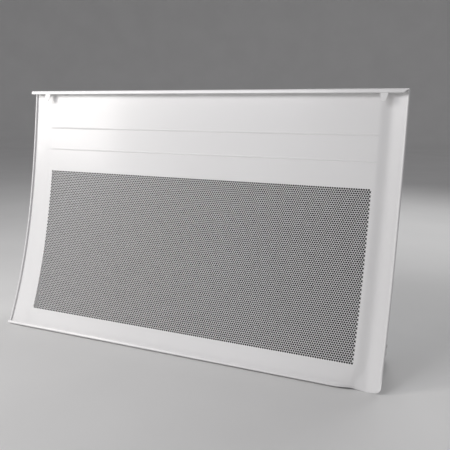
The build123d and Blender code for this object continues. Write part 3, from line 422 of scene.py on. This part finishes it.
# ---- front cover ----
def perforated_field(name, first, last):
    """The cells of the columns from first up to last: a hexagon of sheet round each hole."""
    rows, columns = np.meshgrid(np.arange(ROWS), np.arange(first, last), indexing="ij")
    rows, columns = rows.ravel(), columns.ravel()
    left = -COLUMNS * PITCH / 2
    x = left + (columns + ROW_SHIFT * (1 + 2 * (rows % 2))) * PITCH
    v = FIELD_TOP - CORNER - rows * ROW_STEP

    turn = np.radians(30 + 60 * np.arange(6))
    corner_x = x[:, None] + CORNER * np.cos(turn)
    corner_v = v[:, None] + CORNER * np.sin(turn)
    # the outermost corners move out to the field's straight border
    corner_v[(rows == 0)[:, None] & (np.sin(turn) > 0)] = FIELD_TOP
    corner_v[(rows == ROWS - 1)[:, None] & (np.sin(turn) < 0)] = FIELD_LOW
    corner_x[(columns == 0)[:, None] & (np.cos(turn) < -CLOSE)] = -FIELD_HALF
    corner_x[(columns == COLUMNS - 1)[:, None] & (np.cos(turn) > CLOSE)] = FIELD_HALF

    # a hole has a point towards each corner of its cell, and one between every two
    ring = np.radians(30 + 30 * np.arange(12))
    hole_x = x[:, None] + HOLE / 2 * np.cos(ring)
    hole_v = v[:, None] + HOLE / 2 * np.sin(ring)

    # cells share their corners
    keys = np.round(np.stack([corner_x, corner_v], -1).reshape(-1, 2) / MICRON).astype(int)
    shared, which = np.unique(keys, axis=0, return_inverse=True)
    corners = which.reshape(-1, 6)
    holes = len(shared) + np.arange(hole_x.size).reshape(-1, 12)

    # three triangles between each side of a cell, from a to b, and its hole's points p, q and r
    front = []
    for k in range(6):
        a, b = corners[:, k], corners[:, (k + 1) % 6]
        p, q, r = holes[:, 2 * k], holes[:, 2 * k + 1], holes[:, (2 * k + 2) % 12]
        front += [np.stack(points, 1) for points in ((a, q, p), (a, b, q), (b, r, q))]
    all_x = np.concatenate([shared[:, 0] * MICRON, hole_x.ravel()])
    all_v = np.concatenate([shared[:, 1] * MICRON, hole_v.ravel()])
    sheet_piece(name, all_x, all_v, -bow(all_v), FIELD_SKIN, np.concatenate(front))


def run_out(x):
    """Share of the lower rim's depth that is gone at a place along the width."""
    return smooth((x - RUN_OUT_X) / RUN_OUT_LONG)


def low_edge(x):
    """
    Height of the sheet's lower edge along the width: straight, then lower where the rim is gone,
    with a small lobe and a round corner at its right end.
    """
    lobe = np.exp(-(((x - LOBE_X) / LOBE_WIDE) ** 2))
    into = np.clip((x - WIDTH / 2 + CORNER_ROUND) / CORNER_ROUND, 0, 1)
    corner = CORNER_ROUND * (1 - np.sqrt(1 - into**2))
    return -HALF - LOBE_DROP * lobe + corner - RUN_OUT_SHEET * run_out(x)


def face_sheet():
    """The unperforated part of the face: a grid with the field left out."""
    edge, low = WIDTH / 2 - RIM_TUCK, -HALF + SHEET_INSET
    xs = np.unique(np.round(np.concatenate([
        steps(-edge, -FIELD_HALF, SIDE_STEP), steps(-FIELD_HALF, FIELD_HALF, MIDDLE_STEP),
        steps(FIELD_HALF, edge, SIDE_STEP), steps(edge - CORNER_WIDE, edge, CORNER_STEP)
    ]), 7))
    vs = np.unique(np.round(np.concatenate([
        steps(low, FIELD_LOW, ROW_HIGH), steps(FIELD_LOW, FIELD_TOP, ROW_HIGH),
        steps(FIELD_TOP, HALF - SHEET_INSET, ROW_HIGH),
        *[steps(ridge - RIDGE_REACH, ridge + RIDGE_REACH, RIDGE_STEP) for ridge in RIDGES]
    ]), 7))
    grid_x, grid_v = np.meshgrid(xs, vs, indexing="ij")
    out = relief(grid_x, grid_v) - bow(grid_v)
    # below the perforation the sheet is stretched down to its real lower edge
    share = np.clip((FIELD_LOW - grid_v) / (FIELD_LOW - low), 0, 1)
    grid_v = grid_v + share * (low_edge(grid_x) + HALF)
    inside_x = (xs[:-1] > -FIELD_HALF - CLOSE) & (xs[1:] < FIELD_HALF + CLOSE)
    inside_v = (vs[:-1] > FIELD_LOW - CLOSE) & (vs[1:] < FIELD_TOP + CLOSE)
    i, j = np.nonzero(~(inside_x[:, None] & inside_v[None, :]))
    index = np.arange(grid_x.size).reshape(grid_x.shape)
    quads = np.stack([index[i, j], index[i + 1, j], index[i + 1, j + 1], index[i, j + 1]], 1)
    sheet_piece("face_sheet", grid_x.ravel(), grid_v.ravel(), out.ravel(), SKIN, quads)


def rounded_path(points, radius):
    """A polyline with its inner corners rounded."""
    path = [Vector(points[0])]
    for before, corner, after in zip(points, points[1:], points[2:]):
        before, corner, after = Vector(before), Vector(corner), Vector(after)
        inward = (before - corner).normalized()
        onward = (after - corner).normalized()
        half = inward.angle(onward) / 2
        run = radius / math.tan(half)
        start, end = corner + inward * run, corner + onward * run
        centre = corner + (inward + onward).normalized() * radius / math.sin(half)
        for k in range(QUARTER + 1):
            spoke = (start - centre).lerp(end - centre, k / QUARTER)
            path.append(centre + spoke.normalized() * radius)
    path.append(Vector(points[-1]))
    return path


def strip_outline(path, thick):
    """The closed outline of a strip of sheet along a path, with a rounded far edge."""
    left, right = [], []
    for k, point in enumerate(path):
        ahead = path[min(k + 1, len(path) - 1)] - path[max(k - 1, 0)]
        side = Vector((-ahead.y, ahead.x)).normalized() * thick / 2
        left.append(point + side)
        right.append(point - side)
    tip = (path[-1] - path[-2]).normalized() * thick * EDGE_ROUND
    return left + [path[-1] + tip] + right[::-1]


def folded_rim(name, points, stations):
    """A folded rim along the width. Points are (out, v); each station turns one into (x, v, out)."""
    outline = strip_outline(rounded_path(points, FOLD_RADIUS), SKIN)
    lofted_piece(name, [[station(point.x, point.y) for point in outline] for station in stations])


def tuck(out, v):
    """How far the end of a rim draws in at a point of its section."""
    return RIM_TUCK if out < BEAD_RISE and abs(v) < HALF else 0.0


def top_rim():
    """The upper rim: its left end stands out past the side, and its right end is mitred."""
    lip = TOP_SHELF - SKIN / 2

    def left_end(out, v):
        return -WIDTH / 2 + tuck(out, v) - TOP_PROUD * smooth(out / lip), v, out

    def right_end(out, v):
        cut = max(0.0, HALF + SKIN / 2 - v) * TOP_MITRE if out > lip - FOLD_RADIUS else tuck(out, v)
        return WIDTH / 2 - cut, v, out

    points = [(-SKIN / 2, HALF - FOLD_BEHIND), (-SKIN / 2, HALF + SKIN / 2), (lip, HALF + SKIN / 2),
              (lip, HALF - TOP_LIP + SKIN / 2)]
    folded_rim("top_rim", points, [left_end, right_end])


def low_rim():
    """The lower rim runs out into the sheet over its last stretch, before the round corner."""
    lip = LOW_SHELF - SKIN / 2
    low = -HALF - SKIN / 2

    def station(x):
        gone = float(run_out(x))
        left = max(RUN_OUT_LEAST, 1 - gone)
        sheet_middle = -SKIN / 2 - RUN_OUT_BEHIND * gone + (float(relief(x, -HALF)) if x > 0 else 0.0)
        edge = float(low_edge(x)) + HALF + RUN_OUT_RISE * gone

        def at(out, v):
            rise = (v - low) * (RUN_OUT_STRIP + (1 - RUN_OUT_STRIP) * left)
            return x + tuck(out, v), low + edge + rise, sheet_middle + (out + SKIN / 2) * left

        return at

    points = [(-SKIN / 2, low + FOLD_BEHIND), (-SKIN / 2, low), (lip, low),
              (lip - LOW_LIP_LEAN, -HALF + LOW_LIP - SKIN / 2)]
    xs = [-WIDTH / 2, *steps(RUN_OUT_X, WIDTH / 2 - CORNER_ROUND / 2, RUN_OUT_STEP)]
    folded_rim("low_rim", points, [station(x) for x in xs])


def side_bead(name, side):
    """The hem up one side: a flattened roll that follows the bow."""
    inner, outer = WIDTH / 2 - BEAD_WIDE, WIDTH / 2
    outline = []
    for centre_x, start in ((outer - BEAD_RADIUS, 0), (inner + BEAD_RADIUS, 90)):
        for k in range(QUARTER + 1):
            turn = math.radians(start + 90 / QUARTER * k)
            out = BEAD_RISE - BEAD_RADIUS + BEAD_RADIUS * math.sin(turn)
            outline.append((centre_x + BEAD_RADIUS * math.cos(turn), out))
    outline += [(inner, -SKIN), (outer, -SKIN)]
    foot = -HALF + (CORNER_ROUND if side > 0 else 0.0)
    sheet_out = float(relief(side * (WIDTH / 2 - BEAD_WIDE / 2), foot)) - FOOT_BEHIND
    sections = []
    for v in steps(foot, HALF, BEAD_STEP):
        full = float(smooth((v - foot) / FOOT_LONG)) if side > 0 else 1.0
        behind = bow(v) - (1 - full) * sheet_out
        share = FOOT_LEAST + (1 - FOOT_LEAST) * full
        sections.append([(side * x, v, (out * share if out > 0 else out) - behind) for x, out in outline])
    lofted_piece(name, sections)


def tongue(name, side, node):
    """A tapered spring tongue that hangs behind the top lip and bends slightly forwards at its tip."""
    middle = side * (WIDTH / 2 - TONGUE_INSET)
    thick = TONGUE_THICK / 2
    root, tip = HALF - thick, HALF - TOP_LIP - TONGUE_DROP
    sections = []
    for k in range(TONGUE_SECTIONS + 1):
        s = k / TONGUE_SECTIONS
        v = root + (tip - root) * s
        taper = smooth((HALF - TOP_LIP - v) / TONGUE_DROP) if v < HALF - TOP_LIP else 0.0
        half = (TONGUE_ROOT + (TONGUE_TIP - TONGUE_ROOT) * float(taper)) / 2
        round_off = max(0.0, (s - 1 + TONGUE_ROUNDED) / TONGUE_ROUNDED)
        half *= math.sqrt(1 - TONGUE_BLUNT * round_off**2)
        out = TOP_SHELF - SKIN - thick + TONGUE_BEND * max(0.0, s - TONGUE_STRAIGHT) ** 2
        corners = ((-half, thick), (half, thick), (half, -thick), (-half, -thick))
        sections.append([(middle + x, v, out + depth) for x, depth in corners])
    lofted_piece(name, sections, node)


for k in range(FIELD_PIECES):
    first, last = round(COLUMNS * k / FIELD_PIECES), round(COLUMNS * (k + 1) / FIELD_PIECES)
    perforated_field(f"face_perforated_{k + 1}", first, last)
face_sheet()
top_rim()
low_rim()
side_bead("left_bead", -1)
side_bead("right_bead", 1)
tongue("left_spring_tongue", -1, "left_tongue")
tongue("right_spring_tongue", 1, "right_tongue")


# ---- fasteners and dial ----
def screw(work, side, y, z, seat, head_radius, head_high, shank_radius, shank_long):
    """Add a pan-head screw with a cross recess to a bmesh, its axis along the width and its head outside."""

    def ring(radius, level, share=1.0):
        loop = []
        for k in range(SPOKES):
            turn = math.tau * k / SPOKES
            across, up = radius * math.cos(turn), radius * math.sin(turn)
            recess = share < RECESS_REACH and min(abs(across), abs(up)) < head_radius * RECESS_HALF
            height = level - head_high * RECESS_DEEP if recess else level
            loop.append(work.verts.new((side * (seat + height), y + across, z + up)))
        return loop

    loops = [ring(head_radius * share, head_high * (1 - DOME * share**3), share) for share in SCREW_RINGS]
    loops += [ring(head_radius, 0.0), ring(shank_radius, 0.0), ring(shank_radius, -shank_long)]
    for near, far in zip(loops, loops[1:]):
        for k in range(SPOKES):
            work.faces.new((near[k], near[(k + 1) % SPOKES], far[(k + 1) % SPOKES], far[k]))
    work.faces.new(loops[0])
    work.faces.new(loops[-1][::-1])


def side_screws(name, node, places, seat, head, shank):
    """Screws on both ends of the heater. Places are (y, z); head and shank are (radius, length)."""
    work = bmesh.new()
    for side in (-1, 1):
        for y, z in places:
            screw(work, side, y, z, seat, *head, *shank)
    keep(finished_mesh(name, work), name, "chassis", "zinc_screw", SCREW_SHARP, (node,))


def rounded_bar(work, frame_at, long, wide, thick):
    """Add a raised bar with rounded ends; frame_at turns (along, across, up) into a place."""
    outline = []
    for end in (1, -1):
        for k in range(QUARTER + 1):
            turn = math.radians(90 * end - 180 / QUARTER * k)
            along = end * (long - wide) / 2 + wide / 2 * math.cos(turn)
            outline.append((along, wide / 2 * math.sin(turn)))
    low = [work.verts.new(frame_at(a, c, 0.0)) for a, c in outline]
    high = [work.verts.new(frame_at(a * BAR_TOP[0], c * BAR_TOP[1], thick)) for a, c in outline]
    for k in range(len(outline)):
        after = (k + 1) % len(outline)
        work.faces.new((low[k], low[after], high[after], high[k]))
    work.faces.new(high)
    work.faces.new(low[::-1])


def knob_spoke(seat, turn, middle):
    """A frame for a bar on the left end, along a spoke of the knob and with its middle at a radius."""
    low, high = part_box("thermostat_knob")
    axis_y, axis_z = (low.y + high.y) / 2, (low.z + high.z) / 2

    def frame_at(along, across, up):
        radius = middle + along
        return (
            seat - up,
            axis_y + radius * math.cos(turn) - across * math.sin(turn),
            axis_z + radius * math.sin(turn) + across * math.cos(turn),
        )

    return frame_at


def black_bars(name, body, bars):
    """Black rounded bars as one piece. Each bar is (frame, length, width, thickness)."""
    work = bmesh.new()
    for bar in bars:
        rounded_bar(work, *bar)
    keep(finished_mesh(name, work), name, body, "black_plastic")


def dial():
    """Scale marks on the left end cap round the knob, longer at both ends, and the knob's filled pointer."""
    low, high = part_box("thermostat_knob")
    knob_radius = (high.z - low.z) / 2
    marks = []
    for k in range(DIAL_MARKS):
        turn = math.radians(DIAL_START + DIAL_SWEEP * k / (DIAL_MARKS - 1))
        long = DIAL_LONG * (DIAL_END_SHARE if k in (0, DIAL_MARKS - 1) else 1.0)
        frame_at = knob_spoke(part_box("left_end_cap")[0].x, turn, knob_radius + DIAL_GAP + long / 2)
        marks.append((frame_at, long, DIAL_WIDE, DIAL_THICK))
    black_bars("dial_marks", "chassis", marks)
    frame_at = knob_spoke(low.x + POINTER_DEEP, math.radians(DIAL_START), POINTER_MIDDLE)
    black_bars("pointer_fill", "knob", [(frame_at, POINTER_LONG, POINTER_WIDE, POINTER_FILL)])


def fasteners():
    """The screws of the end caps, and the two that the cover hangs from."""
    cap_low, cap_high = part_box("right_end_cap")
    screw_low, screw_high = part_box("end_cap_screws")
    screw_y = (screw_low.y + screw_high.y) / 2
    head = (CAP_SCREW_HEAD, screw_high.x - cap_high.x)
    places = [(screw_y, screw_low.z + CAP_SCREW_HEAD), (screw_y, CAP_SCREW_MIDDLE),
              (screw_y, screw_high.z - CAP_SCREW_HEAD)]
    side_screws("side_screws", "end_cap_screws", places, cap_high.x, head, CAP_SCREW_SHANK)
    pivot_low, pivot_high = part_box("hinge_screws")
    pivot = ((pivot_low.y + pivot_high.y) / 2, (pivot_low.z + pivot_high.z) / 2)
    seat = pivot_high.x - PIVOT_HEAD_HIGH
    head = ((pivot_high.z - pivot_low.z) / 2, PIVOT_HEAD_HIGH)
    shank = (PIVOT_RADIUS, seat - cap_low.x + PIVOT_BITE)
    side_screws("pivot_screws", "hinge_screws", [pivot], seat, head, shank)


fasteners()
dial()


# ---- floor, light and camera ----
def studio_floor():
    """A wide floor that curves up into a low wall all round."""
    profile = [(0.0, 0.0), (FLOOR_RADIUS - FLOOR_SWEEP, 0.0)]
    for k in range(1, FLOOR_ARC + 1):
        turn = math.radians(90 / FLOOR_ARC * k)
        profile.append((FLOOR_RADIUS - FLOOR_SWEEP + FLOOR_SWEEP * math.sin(turn),
                        FLOOR_SWEEP - FLOOR_SWEEP * math.cos(turn)))
    profile.append((FLOOR_RADIUS, FLOOR_WALL))
    work = bmesh.new()
    for radius, height in profile:
        work.verts.new((radius, 0, height))
    work.verts.ensure_lookup_table()
    edges = [work.edges.new(pair) for pair in zip(work.verts[:-1], work.verts[1:])]
    bmesh.ops.spin(work, geom=[*work.verts, *edges], cent=(0, 0, 0), axis=(0, 0, 1),
                   angle=math.tau, steps=FLOOR_TURNS, use_merge=True)
    bmesh.ops.remove_doubles(work, verts=work.verts, dist=CLOSE)
    mesh = finished_mesh("studio_floor", work)
    mesh.shade_smooth()
    material, tree, shader, coords = node_material("studio_floor", FLOOR_SHADES[0], roughness=0.7)
    tint(tree, shader, noise(tree, coords, scale=3.0, detail=3.0), *FLOOR_SHADES)
    mesh.materials.append(material)
    add_object("studio_floor", mesh)


def softbox(name, position, size, power, colour):
    """An area light that faces the middle of the heater."""
    light = bpy.data.lights.new(name, "AREA")
    light.shape = "RECTANGLE"
    light.size, light.size_y = size
    light.energy = power
    light.color = colour
    lamp = add_object(name, light)
    lamp.location = position
    lamp.rotation_mode = "QUATERNION"
    aim = (cad_box[0] + cad_box[1]) / 2
    lamp.rotation_quaternion = (aim - Vector(position)).to_track_quat("-Z", "Y")


def studio():
    studio_floor()
    for name, (position, size, power, colour) in SOFTBOXES.items():
        softbox(name, position, size, power, colour)
    world = bpy.data.worlds.new("studio")
    world.use_nodes = True
    world.node_tree.nodes["Background"].inputs["Color"].default_value = (*WORLD_COLOUR, 1)
    world.node_tree.nodes["Background"].inputs["Strength"].default_value = WORLD_STRENGTH
    bpy.context.scene.world = world
    bpy.context.scene.view_settings.view_transform = "Standard"


def camera():
    data = bpy.data.cameras.new("camera")
    data.sensor_width = SENSOR
    data.lens = LENS
    view = add_object("camera", data)
    azimuth, pitch, roll = (math.radians(turn) for turn in CAMERA_TURN)
    aim = Vector((math.sin(azimuth) * math.cos(pitch), math.cos(azimuth) * math.cos(pitch), math.sin(pitch)))
    view.location = CAMERA_PLACE
    level = aim.to_track_quat("-Z", "Y").to_matrix()
    view.rotation_mode = "QUATERNION"
    view.rotation_quaternion = (level @ Matrix.Rotation(roll, 3, "Z")).to_quaternion()
    bpy.context.scene.camera = view


studio()
camera()
